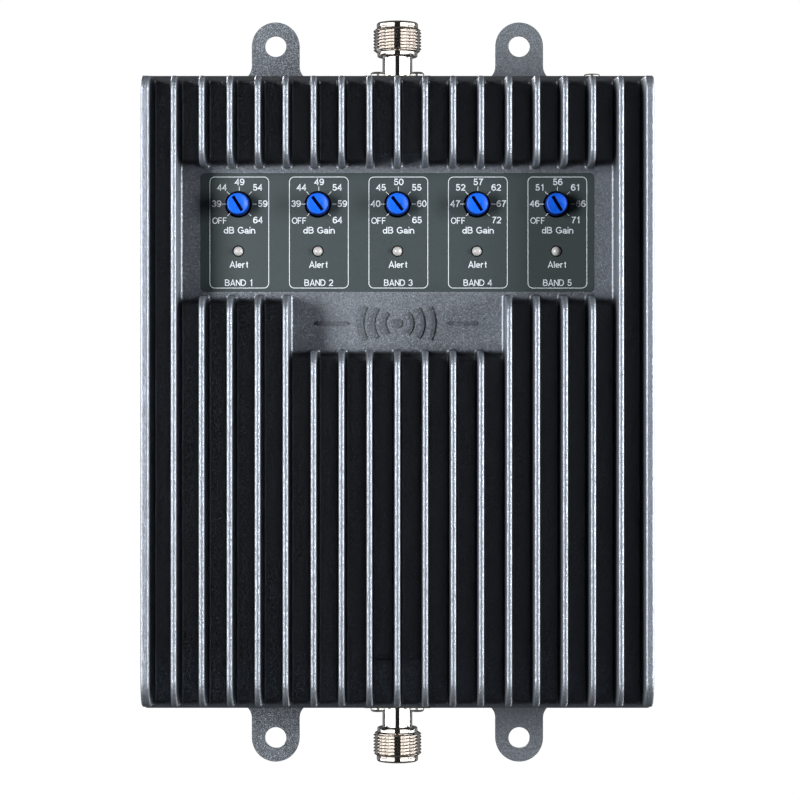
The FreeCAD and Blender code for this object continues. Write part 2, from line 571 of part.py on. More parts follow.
save("power_jack_tabs", Part.makeCompound(
    [box(JACK_X - 1.85, JACK_X - 0.95, -11.65, PCB_Y[0], -94.9, -89.5),
     box(JACK_X + 0.95, JACK_X + 1.85, -11.65, PCB_Y[0], -94.9, -89.5)]))
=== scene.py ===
import json
import math

import bmesh
import bpy
from mathutils import Matrix, Vector

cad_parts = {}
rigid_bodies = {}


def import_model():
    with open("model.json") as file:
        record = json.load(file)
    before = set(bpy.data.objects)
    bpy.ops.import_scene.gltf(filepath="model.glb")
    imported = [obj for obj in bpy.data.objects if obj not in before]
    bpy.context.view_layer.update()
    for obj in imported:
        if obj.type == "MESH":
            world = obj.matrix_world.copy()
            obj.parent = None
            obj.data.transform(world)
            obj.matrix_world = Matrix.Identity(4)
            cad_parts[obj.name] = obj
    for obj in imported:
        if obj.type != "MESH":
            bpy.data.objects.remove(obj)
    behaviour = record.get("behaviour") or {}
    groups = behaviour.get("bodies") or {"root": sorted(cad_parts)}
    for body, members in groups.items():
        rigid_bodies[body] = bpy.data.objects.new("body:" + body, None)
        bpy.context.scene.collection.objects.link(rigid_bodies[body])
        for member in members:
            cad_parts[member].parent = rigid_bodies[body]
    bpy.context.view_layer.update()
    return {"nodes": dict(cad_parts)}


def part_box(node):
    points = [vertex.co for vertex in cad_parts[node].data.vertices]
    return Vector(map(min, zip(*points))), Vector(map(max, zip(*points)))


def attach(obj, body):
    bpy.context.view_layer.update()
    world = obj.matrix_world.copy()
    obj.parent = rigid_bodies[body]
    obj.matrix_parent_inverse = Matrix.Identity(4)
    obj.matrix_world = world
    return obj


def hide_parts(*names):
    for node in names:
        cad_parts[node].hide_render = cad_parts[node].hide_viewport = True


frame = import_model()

MM = 0.001
NODES = frame["nodes"]
X_AXIS, Y_AXIS, Z_AXIS = "X", "Y", "Z"


# ------------------------------------------------------------------ node helpers
def new_mat(name):
    m = bpy.data.materials.new(name)
    m.use_nodes = True
    nt = m.node_tree
    return m, nt, nt.nodes["Principled BSDF"]


def node(nt, kind, **values):
    n = nt.nodes.new(kind)
    for k, v in values.items():
        if k in n.inputs.keys():
            n.inputs[k].default_value = v
        else:
            setattr(n, k, v)
    return n


def link(nt, a, b):
    nt.links.new(a, b)


def coords(nt):
    return nt.nodes.new("ShaderNodeTexCoord").outputs["Object"]


def noise(nt, co, scale, detail=2.0, rough=0.5):
    n = node(nt, "ShaderNodeTexNoise", Scale=scale, Detail=detail, Roughness=rough)
    link(nt, co, n.inputs["Vector"])
    return n.outputs["Fac"]


def cells(nt, co, scale):
    n = node(nt, "ShaderNodeTexVoronoi", Scale=scale, Randomness=1.0)
    link(nt, co, n.inputs["Vector"])
    return n


def ramp(nt, fac, stops):
    n = nt.nodes.new("ShaderNodeValToRGB")
    el = n.color_ramp.elements
    while len(el) < len(stops):
        el.new(0.5)
    for e, (p, c) in zip(el, stops):
        e.position = p
        e.color = (c[0], c[1], c[2], 1.0) if hasattr(c, "__len__") else (c, c, c, 1.0)
    link(nt, fac, n.inputs["Fac"])
    return n.outputs["Color"]


def maths(nt, op, a, b=None, clamp=False):
    n = nt.nodes.new("ShaderNodeMath")
    n.operation = op
    n.use_clamp = clamp
    for i, v in enumerate((a, b)):
        if v is None:
            continue
        if isinstance(v, (int, float)):
            n.inputs[i].default_value = v
        else:
            link(nt, v, n.inputs[i])
    return n.outputs[0]


def mix_col(nt, fac, a, b, mode="MIX"):
    n = nt.nodes.new("ShaderNodeMix")
    n.data_type = "RGBA"
    n.blend_type = mode
    for sock, v in ((n.inputs[0], fac), (n.inputs[6], a), (n.inputs[7], b)):
        if isinstance(v, (int, float)):
            sock.default_value = v
        elif isinstance(v, (tuple, list)):
            sock.default_value = (v[0], v[1], v[2], 1.0)
        else:
            link(nt, v, sock)
    return n.outputs[2]


def bump(nt, height, strength, distance, normal=None):
    n = node(nt, "ShaderNodeBump", Strength=strength, Distance=distance)
    link(nt, height, n.inputs["Height"])
    if normal is not None:
        link(nt, normal, n.inputs["Normal"])
    return n.outputs["Normal"]


def rgb(r, g, b):
    """sRGB 0-255 to linear."""
    out = []
    for v in (r, g, b):
        v /= 255.0
        out.append(v / 12.92 if v <= 0.04045 else ((v + 0.055) / 1.055) ** 2.4)
    return tuple(out)


# ------------------------------------------------------------------ materials
def powder_coat(name, tint=(0.215, 0.233, 0.262), depth=0.75):
    """Dark grey metallic powder coat: fine sandy grain and bright flakes, with painted shade in the channels, on the
    raised mark and towards the fin roots; depth sets how strong the painted shade is.
    """
    m, nt, b = new_mat(name)
    co = coords(nt)
    tone = noise(nt, co, 70.0, 4.0, 0.6)
    grain = noise(nt, co, 3400.0, 2.0, 0.6)
    flakes = cells(nt, co, 4300.0)
    sep = nt.nodes.new("ShaderNodeSeparateColor")
    link(nt, flakes.outputs["Color"], sep.inputs["Color"])
    base = mix_col(nt, tone, tuple(c * 0.95 for c in tint), tuple(c * 1.05 for c in tint))
    dark = ramp(nt, grain, [(0.34, 1.0), (0.50, 0.0)])
    base = mix_col(nt, maths(nt, "MULTIPLY", dark, 0.5), base, tuple(c * 0.45 for c in tint))
    light = ramp(nt, grain, [(0.52, 0.0), (0.72, 1.0)])
    base = mix_col(nt, maths(nt, "MULTIPLY", light, 0.5), base, tuple(min(1.0, c * 1.6) for c in tint))
    spark = ramp(nt, sep.outputs["Red"], [(0.84, 0.0), (0.99, 1.0)])
    base = mix_col(nt, maths(nt, "MULTIPLY", spark, 0.5), base, tuple(min(1.0, c * 2.2) for c in tint))
    # painted shade: the coat is painted darker at the bottom of the channels and on the connector pads, fading out near
    # the bottom end
    xyz = nt.nodes.new("ShaderNodeSeparateXYZ")
    link(nt, co, xyz.inputs[0])
    channel_shade = nt.nodes.new("ShaderNodeMapRange")
    channel_shade.interpolation_type = "SMOOTHSTEP"
    for k, v in (("From Min", -0.0231), ("From Max", -0.0226), ("To Min", 0.0), ("To Max", depth)):
        channel_shade.inputs[k].default_value = v
    high = maths(nt, "ABSOLUTE", xyz.outputs["Z"])
    pads = maths(nt, "MULTIPLY", maths(nt, "GREATER_THAN", high, 0.078), 0.001)
    link(nt, maths(nt, "ADD", xyz.outputs["Y"], pads), channel_shade.inputs["Value"])
    foot = nt.nodes.new("ShaderNodeMapRange")
    foot.interpolation_type = "SMOOTHSTEP"
    for k, v in (("From Min", -0.1005), ("From Max", -0.080), ("To Min", 0.0), ("To Max", 1.0)):
        foot.inputs[k].default_value = v
    link(nt, xyz.outputs["Z"], foot.inputs["Value"])
    base = mix_col(nt, maths(nt, "MULTIPLY", channel_shade.outputs["Result"], foot.outputs["Result"]), base,
                   tuple(c * k for c, k in zip(tint, (0.76, 0.71, 0.66))))
    # painted shade: the tops of the raised mark in the name area are painted darker, standing in for the shadows of its
    # relief
    mark_shade = maths(nt, "MULTIPLY", maths(nt, "LESS_THAN", xyz.outputs["Y"], -0.02345),
                 maths(nt, "GREATER_THAN", xyz.outputs["Y"], -0.0239))
    for axis, centre, half in (("X", 0.0, 0.0268), ("Z", 0.0224, 0.0086)):
        off = maths(nt, "ABSOLUTE", maths(nt, "SUBTRACT", xyz.outputs[axis], centre))
        mark_shade = maths(nt, "MULTIPLY", mark_shade, maths(nt, "LESS_THAN", off, half))
    base = mix_col(nt, maths(nt, "MULTIPLY", mark_shade, depth), base, tuple(c * 0.52 for c in tint))
    # painted shade: darker towards the roots of the fins, most of all on their flanks
    geo = nt.nodes.new("ShaderNodeNewGeometry")
    nx = nt.nodes.new("ShaderNodeSeparateXYZ")
    link(nt, geo.outputs["Normal"], nx.inputs[0])
    # painted shade picked out on the flanks by their sideways normals
    side = nt.nodes.new("ShaderNodeMapRange")
    side.interpolation_type = "SMOOTHSTEP"
    for k, v in (("From Min", 0.80), ("From Max", 0.96), ("To Min", 0.30), ("To Max", 0.62)):
        side.inputs[k].default_value = v
    link(nt, maths(nt, "ABSOLUTE", nx.outputs["X"]), side.inputs["Value"])
    root_shade = nt.nodes.new("ShaderNodeMapRange")
    root_shade.interpolation_type = "SMOOTHSTEP"
    for k, v in (("From Min", -0.0370), ("From Max", -0.0260), ("To Min", 0.0), ("To Max", min(1.0, depth * 1.3))):
        root_shade.inputs[k].default_value = v
    link(nt, xyz.outputs["Y"], root_shade.inputs["Value"])
    base = mix_col(nt, maths(nt, "MULTIPLY", side.outputs["Result"], root_shade.outputs["Result"]), base,
                   tuple(c * 0.15 for c in tint))
    link(nt, base, b.inputs["Base Color"])
    link(nt, ramp(nt, sep.outputs["Green"], [(0.0, 0.75), (1.0, 0.92)]), b.inputs["Metallic"])
    link(nt, ramp(nt, grain, [(0.3, 0.44), (0.7, 0.54)]), b.inputs["Roughness"])
    # each flake tilts its own way
    tilt = nt.nodes.new("ShaderNodeVectorMath")
    tilt.operation = "MULTIPLY_ADD"
    link(nt, flakes.outputs["Color"], tilt.inputs[0])
    tilt.inputs[1].default_value = (0.34, 0.34, 0.34)
    tilt.inputs[2].default_value = (-0.17, -0.17, -0.17)
    add = nt.nodes.new("ShaderNodeVectorMath")
    add.operation = "ADD"
    link(nt, tilt.outputs[0], add.inputs[0])
    link(nt, geo.outputs["Normal"], add.inputs[1])
    nrm = nt.nodes.new("ShaderNodeVectorMath")
    nrm.operation = "NORMALIZE"
    link(nt, add.outputs[0], nrm.inputs[0])
    link(nt, bump(nt, grain, 0.3, 0.00005, nrm.outputs[0]), b.inputs["Normal"])
    return m


def film(name):
    """Matt textured polyester overlay."""
    m, nt, b = new_mat(name)
    co = coords(nt)
    g = noise(nt, co, 5200.0, 2.0, 0.6)
    t = noise(nt, co, 60.0, 3.0)
    base = mix_col(nt, t, (0.0132, 0.0222, 0.0236), (0.0160, 0.0260, 0.0275))
    base = mix_col(nt, ramp(nt, g, [(0.4, 0.0), (0.75, 0.5)]), base, (0.029, 0.035, 0.037))
    link(nt, base, b.inputs["Base Color"])
    link(nt, ramp(nt, g, [(0.3, 0.42), (0.7, 0.55)]), b.inputs["Roughness"])
    link(nt, bump(nt, g, 0.25, 0.00003), b.inputs["Normal"])
    b.inputs["Specular IOR Level"].default_value = 0.6
    return m


def ink(name):
    """White screen-printed ink, slightly uneven."""
    m, nt, b = new_mat(name)
    co = coords(nt)
    g = noise(nt, co, 6000.0, 2.0)
    base = mix_col(nt, g, (0.40, 0.43, 0.46), (0.52, 0.55, 0.58))
    link(nt, base, b.inputs["Base Color"])
    link(nt, ramp(nt, g, [(0.3, 0.45), (0.7, 0.6)]), b.inputs["Roughness"])
    return m


def plated(name, tint=(0.84, 0.78, 0.715), rough=(0.05, 0.10), axis=None):
    """Nickel plate with faint turning marks and a little haze."""
    m, nt, b = new_mat(name)
    co = coords(nt)
    cloud = noise(nt, co, 420.0, 4.0, 0.6)
    mp = nt.nodes.new("ShaderNodeMapping")
    mp.inputs["Scale"].default_value = (300.0, 300.0, 16000.0) if axis is None else axis
    link(nt, co, mp.inputs["Vector"])
    lines = noise(nt, mp.outputs["Vector"], 1.0, 2.0, 0.6)
    base = mix_col(nt, cloud, tuple(c * 0.86 for c in tint), tint)
    link(nt, base, b.inputs["Base Color"])
    b.inputs["Metallic"].default_value = 1.0
    r = mix_col(nt, cloud, (rough[0],) * 3, (rough[1],) * 3)
    link(nt, r, b.inputs["Roughness"])
    link(nt, bump(nt, lines, 0.12, 0.00001), b.inputs["Normal"])
    return m


def screw_metal(name):
    m, nt, b = new_mat(name)
    co = coords(nt)
    cloud = noise(nt, co, 900.0, 3.0, 0.6)
    base = mix_col(nt, cloud, (0.50, 0.49, 0.47), (0.72, 0.70, 0.67))
    link(nt, base, b.inputs["Base Color"])
    b.inputs["Metallic"].default_value = 1.0
    link(nt, ramp(nt, cloud, [(0.3, 0.20), (0.7, 0.34)]), b.inputs["Roughness"])
    link(nt, bump(nt, noise(nt, co, 4200.0, 2.0), 0.12, 0.00002), b.inputs["Normal"])
    return m


def plastic(name, dark, light, rough=(0.35, 0.5), grain=2600.0, depth=0.00002, sss=0.0, spec=0.5):
    m, nt, b = new_mat(name)
    co = coords(nt)
    g = noise(nt, co, grain, 3.0, 0.6)
    t = noise(nt, co, 180.0, 3.0)
    base = mix_col(nt, t, dark, light)
    base = mix_col(nt, maths(nt, "MULTIPLY", g, 0.25), base, tuple(min(1.0, c * 1.25) for c in light))
    link(nt, base, b.inputs["Base Color"])
    link(nt, ramp(nt, g, [(0.3, rough[0]), (0.7, rough[1])]), b.inputs["Roughness"])
    link(nt, bump(nt, g, 0.2, depth), b.inputs["Normal"])
    b.inputs["Specular IOR Level"].default_value = spec
    if sss:
        b.inputs["Subsurface Weight"].default_value = sss
        b.inputs["Subsurface Scale"].default_value = 0.0006
    return m


def board(name):
    """Green solder mask over a ground plane, with traces and vias."""
    m, nt, b = new_mat(name)
    co = coords(nt)
    mp = nt.nodes.new("ShaderNodeMapping")
    mp.inputs["Scale"].default_value = (240.0, 0.0, 240.0)
    link(nt, co, mp.inputs["Vector"])
    v = node(nt, "ShaderNodeTexVoronoi", Scale=1.0, Randomness=0.75)
    v.feature = "DISTANCE_TO_EDGE"
    link(nt, mp.outputs["Vector"], v.inputs["Vector"])
    traces = ramp(nt, v.outputs["Distance"], [(0.03, 1.0), (0.05, 0.0)])
    via = cells(nt, mp.outputs["Vector"], 1.6)
    dots = ramp(nt, via.outputs["Distance"], [(0.10, 1.0), (0.13, 0.0)])
    base = mix_col(nt, traces, (0.008, 0.085, 0.035), (0.020, 0.150, 0.060))
    base = mix_col(nt, dots, base, (0.62, 0.46, 0.20))
    link(nt, base, b.inputs["Base Color"])
    b.inputs["Roughness"].default_value = 0.32
    link(nt, dots, b.inputs["Metallic"])
    link(nt, bump(nt, traces, 0.3, 0.00003), b.inputs["Normal"])
    return m


MAT = {}
MAT["coat"] = powder_coat("powder_coat")
# a darker copy of the same coat, without the channel shade: painted shade for the mounting plate
MAT["plate"] = powder_coat("powder_coat_plate", (0.156, 0.169, 0.189), 0.0)
MAT["film"] = film("overlay_film")
MAT["ink"] = ink("white_ink")
MAT["nickel"] = plated("nickel_plate")
MAT["gold"] = plated("gold_plate", (0.92, 0.66, 0.26), (0.14, 0.24))
MAT["tin"] = plated("tinned_steel", (0.70, 0.71, 0.72), (0.24, 0.38), (900.0, 900.0, 40.0))
MAT["screw"] = screw_metal("screw_steel")
MAT["knob"] = plastic("knob_blue", (0.0014, 0.066, 0.46), (0.0022, 0.080, 0.54), (0.36, 0.48), 3000.0, 0.000015, 0.0, 0.25)
# darker copies of the knob blue: painted shade for the knob's side and painted shadow for its slot
MAT["knob_side"] = plastic("knob_blue_side", (0.0007, 0.014, 0.095), (0.0010, 0.020, 0.13), (0.45, 0.6), 3000.0, 0.000015, 0.0, 0.15)
MAT["knob_deep"] = plastic("knob_blue_shadow", (0.0004, 0.006, 0.035), (0.0006, 0.010, 0.055), (0.5, 0.6), 3000.0, 0.000015, 0.0, 0.2)
MAT["lamp"] = plastic("lamp_lens", (0.27, 0.262, 0.255), (0.33, 0.322, 0.315), (0.25, 0.35), 2500.0, 0.00001, 0.15)
MAT["ptfe"] = plastic("white_insulator", (0.80, 0.80, 0.78), (0.90, 0.90, 0.88), (0.4, 0.55))
MAT["black"] = plastic("black_plastic", (0.012, 0.012, 0.013), (0.022, 0.022, 0.024), (0.35, 0.5))
MAT["chip"] = plastic("chip_black", (0.014, 0.014, 0.015), (0.026, 0.026, 0.028), (0.55, 0.7), 5000.0, 0.00004)
MAT["pad"] = plastic("thermal_pad", (0.30, 0.42, 0.50), (0.38, 0.50, 0.58), (0.6, 0.8), 1800.0, 0.00006)
MAT["gasket"] = plastic("gasket_rubber", (0.030, 0.030, 0.033), (0.055, 0.055, 0.060), (0.6, 0.8), 3500.0, 0.00006)
MAT["ceramic"] = plated("filter_silver", (0.74, 0.73, 0.70), (0.30, 0.45), (500.0, 500.0, 500.0))
MAT["can"] = plated("capacitor_aluminium", (0.76, 0.77, 0.79), (0.22, 0.34), (400.0, 6000.0, 400.0))
MAT["board"] = board("circuit_board")
MAT["label"] = plastic("label_film", (0.30, 0.31, 0.32), (0.36, 0.37, 0.38), (0.45, 0.6), 3200.0, 0.00002)


def dress(names, mat):
    for n in names:
        o = NODES[n]
        if not o.material_slots:
            o.data.materials.append(mat)
        for s in o.material_slots:
            s.link = "OBJECT"
            s.material = mat


dress(["heatsink_housing"], MAT["coat"])
dress(["mounting_plate"], MAT["plate"])
dress(["control_overlay"], MAT["film"])
dress(["rating_label"], MAT["label"])
dress(["back_cover_screws", "board_screws", "ground_screw", "ground_washer",
       "outside_connector_screws", "inside_connector_screws"], MAT["screw"])
dress(["outside_connector_insulator", "inside_connector_insulator"], MAT["ptfe"])
dress(["outside_connector_pin", "inside_connector_pin"], MAT["gold"])
dress(["power_jack_pin", "power_jack_tabs", "outside_connector_body", "inside_connector_body"], MAT["nickel"])
dress(["power_jack", "led_spacers"] + ["gain_pot_%d" % i for i in range(1, 6)], MAT["black"])
dress(["power_amplifiers", "control_chip", "voltage_regulator", "gain_amplifier_chips", "power_inductor"], MAT["chip"])
dress(["thermal_pads"], MAT["pad"])
dress(["emi_gasket"], MAT["gasket"])
dress(["band_duplexers"], MAT["ceramic"])
dress(["filter_capacitors"], MAT["can"])
dress(["uplink_shield_frame", "uplink_shield_lid", "downlink_shield_frame", "downlink_shield_lid"], MAT["tin"])
dress(["main_circuit_board"], MAT["board"])
dress(["alert_led_%d" % i for i in range(1, 6)], MAT["lamp"])
dress(["gain_knob_%d" % i for i in range(1, 6)], MAT["knob"])


# ------------------------------------------------------------------ mesh helpers
def make_object(name, bm, mat, smooth_deg=35.0):
    bmesh.ops.remove_doubles(bm, verts=bm.verts, dist=1e-7)
    bmesh.ops.dissolve_degenerate(bm, edges=bm.edges, dist=1e-8)
    bmesh.ops.recalc_face_normals(bm, faces=bm.faces)
    lim = math.radians(smooth_deg)
    for f in bm.faces:
        f.smooth = True
    for e in bm.edges:
        if len(e.link_faces) == 2:
            e.smooth = e.calc_face_angle(0.0) < lim
        else:
            e.smooth = False
    me = bpy.data.meshes.new(name)
    bm.to_mesh(me)
    bm.free()
    o = bpy.data.objects.new(name, me)
    bpy.context.scene.collection.objects.link(o)
    me.materials.append(mat)
    return o


def rings_to_faces(bm, rings, closed=True):
    """Skins a list of equally long vertex loops."""
    n = len(rings[0])
    for a, b in zip(rings, rings[1:] + ([rings[0]] if closed else [])):
        for i in range(n):
            j = (i + 1) % n
            bm.faces.new((a[i], a[j], b[j], b[i]))


def boolean(target, cutter, op="DIFFERENCE"):
    md = target.modifiers.new("cut", "BOOLEAN")
    md.operation = op
    md.solver = "EXACT"
    md.object = cutter
    dg = bpy.context.evaluated_depsgraph_get()
    me = bpy.data.meshes.new_from_object(target.evaluated_get(dg))
    old = target.data
    target.modifiers.clear()
    target.data = me
    bpy.data.meshes.remove(old)
    bpy.data.objects.remove(cutter)
    return target


def resmooth(o, smooth_deg=35.0):
    bm = bmesh.new()
    bm.from_mesh(o.data)
    bmesh.ops.remove_doubles(bm, verts=bm.verts, dist=1e-7)
    lim = math.radians(smooth_deg)
    for f in bm.faces:
        f.smooth = True
    for e in bm.edges:
        e.smooth = len(e.link_faces) == 2 and e.calc_face_angle(0.0) < lim
    bm.to_mesh(o.data)
    bm.free()
    return o


def prism(name, loops_xz, y0, y1, place=None):
    """Closed prisms along Y from outlines in the XZ plane, in millimetres."""
    bm = bmesh.new()
    for pts in loops_xz:
        a = [bm.verts.new((x * MM, y0 * MM, z * MM)) for x, z in pts]
        b = [bm.verts.new((x * MM, y1 * MM, z * MM)) for x, z in pts]
        n = len(pts)
        bm.faces.new(a)
        bm.faces.new(list(reversed(b)))
        for i in range(n):
            j = (i + 1) % n
            bm.faces.new((a[j], a[i], b[i], b[j]))
    if place is not None:
        bmesh.ops.transform(bm, matrix=place, verts=bm.verts)
    bmesh.ops.recalc_face_normals(bm, faces=bm.faces)
    me = bpy.data.meshes.new(name)
    bm.to_mesh(me)
    bm.free()
    o = bpy.data.objects.new(name, me)
    bpy.context.scene.collection.objects.link(o)
    return o


# ------------------------------------------------------------------ gain knobs
KNOB_R = 3.75
KNOB_TOP = -27.5
KNOB_BASE = -18.1
KNOB_ANGLES = (148.0, 143.0, 142.0, 147.0, 148.0)


def knob(i):
    lo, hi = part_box("gain_knob_%d" % (i + 1))
    cx = (lo.x + hi.x) / 2 / MM
    cz = (lo.z + hi.z) / 2 / MM
    flutes = 54
    per = 6
    n = flutes * per
    bm = bmesh.new()
    # (y, radius, how much of the knurl shows)
    prof = [(KNOB_BASE + 4.20, 2.0, 0.0), (KNOB_BASE, 2.0, 0.0), (KNOB_BASE, 3.5, 0.0),
            (KNOB_BASE - 0.25, 3.73, 0.4), (KNOB_BASE - 0.6, 3.75, 1.0), (KNOB_TOP + 2.3, 3.75, 1.0),
            (KNOB_TOP + 0.62, 3.50, 1.0), (KNOB_TOP + 0.46, 3.44, 0.6), (KNOB_TOP + 0.38, 3.38, 0.0),
            (KNOB_TOP + 0.22, 3.33, 0.0), (KNOB_TOP + 0.08, 3.24, 0.0), (KNOB_TOP, 3.10, 0.0),
            (KNOB_TOP, 2.98, 0.0), (KNOB_TOP + 0.05, 2.90, 0.0)]
    rings = []
    for y, r, k in prof:
        ring = []
        for j in range(n):
            a = 2 * math.pi * j / n
            w = 0.5 - 0.5 * math.cos(2 * math.pi * j / per)
            rr = r - 0.16 * k * w ** 1.4
            ring.append(bm.verts.new(((cx + rr * math.sin(a)) * MM, y * MM, (cz + rr * math.cos(a)) * MM)))
        rings.append(ring)
    rings_to_faces(bm, rings, closed=False)
    bm.faces.new(rings[0])
    bm.faces.new(list(reversed(rings[-1])))
    o = make_object("gain_knob_%d_body" % (i + 1), bm, MAT["knob"], 40.0)
    # slot with a shallow arrow head
    turn = Matrix.Translation((cx * MM, 0, cz * MM)) @ Matrix.Rotation(math.radians(KNOB_ANGLES[i]), 4, "Y")
    # painted shadow for the slot and painted shade for the side, as darker copies of the blue
    o.data.materials.append(MAT["knob_deep"])
    o.data.materials.append(MAT["knob_side"])
    head = prism("cut", [[(-1.25, 0.75), (-1.05, 0.55), (1.05, 0.55), (1.25, 0.75), (0.12, 2.72), (-0.12, 2.72)]],
                 KNOB_TOP - 1, KNOB_TOP + 0.30, turn)
    boolean(o, head)
    w, h = 0.54, 2.80
    slot = prism("cut", [[(-w, -h + 0.1), (-w + 0.1, -h), (w - 0.1, -h), (w, -h + 0.1),
                          (w, h - 0.1), (w - 0.1, h), (-w + 0.1, h), (-w, h - 0.1)]],
                 KNOB_TOP - 1, KNOB_TOP + 1.5, turn)
    boolean(o, slot)
    resmooth(o, 40.0)
    # painted shadow on the slot walls and floor; painted shade on the knob's side below the bevel
    for p in o.data.polygons:
        c = p.center
        r = math.hypot(c.x / MM - cx, c.z / MM - cz)
        if KNOB_TOP + 0.45 < c.y / MM < KNOB_TOP + 1.55 and r < 2.9 and abs(p.normal.y) < 0.5 or \
                abs(c.y / MM - (KNOB_TOP + 1.5)) < 0.02 and r < 2.9:
            p.material_index = 1
        elif c.y / MM > KNOB_TOP + 0.39 and r > 2.95:
            p.material_index = 2
    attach(o, "knob_%d" % (i + 1))
    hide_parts("gain_knob_%d" % (i + 1))
    return o


for i in range(5):
    knob(i)


# ------------------------------------------------------------------ N-type jack bodies
CONN_Y = -11.5
PITCH = 25.4 / 24


def thread_radius(z, a, z0, z1, major, depth):
    """Radius of a right-handed 60 degree thread at height z and angle a."""
    p = (z / PITCH - a / (2 * math.pi)) % 1.0
    t = abs(2 * p - 1)                     # 1 at the crest, 0 at the root
    t = min(1.0, max(0.0, (t - 0.12) / 0.72))
    run0 = min(1.0, max(0.0, (z - z0) / 0.75))
    run1 = min(1.0, max(0.0, (z1 - z) / 0.75))
    r = major - depth * (1 - t)
    return min(r, major - depth + depth * min(run0, run1) * 1.0)


def jack(node_name, new_name, turn):
    bm = bmesh.new()
    n = 112
    z0, z1 = 112.3, 120.3
    prof = [(3.45, 95.0), (4.0, 95.0), (4.0, 101.6),
            (4.6, 102.9), (5.35, 103.1), (5.12, 103.2), (4.99, 103.36), (4.95, 103.6), (4.95, 110.55),
            (5.0, 110.7), (5.1, 110.78), (6.2, 110.8), (6.52, 110.95), (6.65, 111.2), (6.65, 112.0), (6.68, 112.2)]
    rings = []

    def ring(r, z):
        return [bm.verts.new((r * math.sin(2 * math.pi * j / n) * MM, (CONN_Y - r * math.cos(2 * math.pi * j / n)) * MM, z * MM))
                for j in range(n)]

    for r, z in prof:
        rings.append(ring(r, z))
    steps = 136
    major, depth = 15.875 / 2, 0.66
    for s in range(steps + 1):
        z = z0 + (z1 - z0) * s / steps
        vs = []
        for j in range(n):
            a = 2 * math.pi * j / n
            r = max(6.7, thread_radius(z, a, z0 - 0.25, z1 + 0.25, major, depth))
            # lead chamfers at both ends
            r = min(r, 6.85 + (z - z0) * 1.35 + 0.05, 6.85 + (z1 - z) * 1.35 + 0.02)
            vs.append(bm.verts.new((r * math.sin(a) * MM, (CONN_Y - r * math.cos(a)) * MM, z * MM)))
        rings.append(vs)
    for r, z in [(6.60, 120.36), (6.60, 120.52), (6.78, 120.60), (6.85, 120.70), (6.85, 121.55), (6.80, 121.80),
                 (6.64, 121.99), (6.40, 122.14), (6.10, 122.2), (4.45, 122.2), (4.18, 122.1), (4.06, 121.9),
                 (4.03, 121.6), (4.03, 113.3), (3.98, 113.2), (3.45, 113.2)]:
        rings.append(ring(r, z))
    rings_to_faces(bm, rings, closed=True)
    o = make_object(new_name, bm, MAT["nickel"], 38.0)

    # square flange with four screw holes
    fb = bmesh.new()
    pts = []
    h, cr = 8.75, 1.0
    for cx, cy, a0 in ((h - cr, h - cr, 0), (-h + cr, h - cr, 90), (-h + cr, -h + cr, 180), (h - cr, -h + cr, 270)):
        for k in range(7):
            a = math.radians(a0 + 15 * k)
            pts.append((cx + cr * math.cos(a), cy + cr * math.sin(a)))
    layers = []
    for z, inset in ((101.5, 0.0), (102.92, 0.0), (103.05, 0.05), (103.1, 0.18)):
        k = (h - inset) / h
        layers.append([fb.verts.new((x * k * MM, (CONN_Y + y * k) * MM, z * MM)) for x, y in pts])
    rings_to_faces(fb, layers, closed=False)
    fb.faces.new(layers[0])
    fb.faces.new(list(reversed(layers[-1])))
    fl = make_object("flange_tmp", fb, MAT["nickel"], 30.0)
    for dx in (-6.35, 6.35):
        for dy in (-6.35, 6.35):
            cb = bmesh.new()
            bmesh.ops.create_cone(cb, cap_ends=True, segments=40, radius1=1.35 * MM, radius2=1.35 * MM, depth=4 * MM,
                                  matrix=Matrix.Translation((dx * MM, (CONN_Y + dy) * MM, 102.3 * MM)))
            me = bpy.data.meshes.new("cut")
            cb.to_mesh(me)
            cb.free()
            c = bpy.data.objects.new("cut", me)
            bpy.context.scene.collection.objects.link(c)
            boolean(fl, c)
    boolean(o, fl, "UNION")
    resmooth(o, 36.0)
    if turn:
        o.data.transform(Matrix.Rotation(math.pi, 4, Vector((0, 1, 0))))
    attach(o, "case")
    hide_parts(node_name)
    return o


jack("outside_connector_body", "outside_jack_body", False)
jack("inside_connector_body", "inside_jack_body", True)


# ------------------------------------------------------------------ printing on the control panel
INK_Y0, INK_Y1 = -22.80, -22.825
PRINT_DX = 0.32
DIAL_X = [-52.0, -26.0, 0.0, 26.0, 52.0]
DIAL_NUMBERS = [("39", "44", "49", "54", "59", "64"), ("39", "44", "49", "54", "59", "64"),
                ("40", "45", "50", "55", "60", "65"), ("47", "52", "57", "62", "67", "72"),
                ("46", "51", "56", "61", "66", "71")]


def arc(cx, cy, rx, ry, a0, a1, n=9):
    return [(cx + rx * math.cos(math.radians(a0 + (a1 - a0) * k / n)),
             cy + ry * math.sin(math.radians(a0 + (a1 - a0) * k / n))) for k in range(n + 1)]


def ring_of(cx, cy, rx, ry, n=20):
    return arc(cx, cy, rx, ry, 90, 450 - 360 / n, n - 1) + ["closed"]


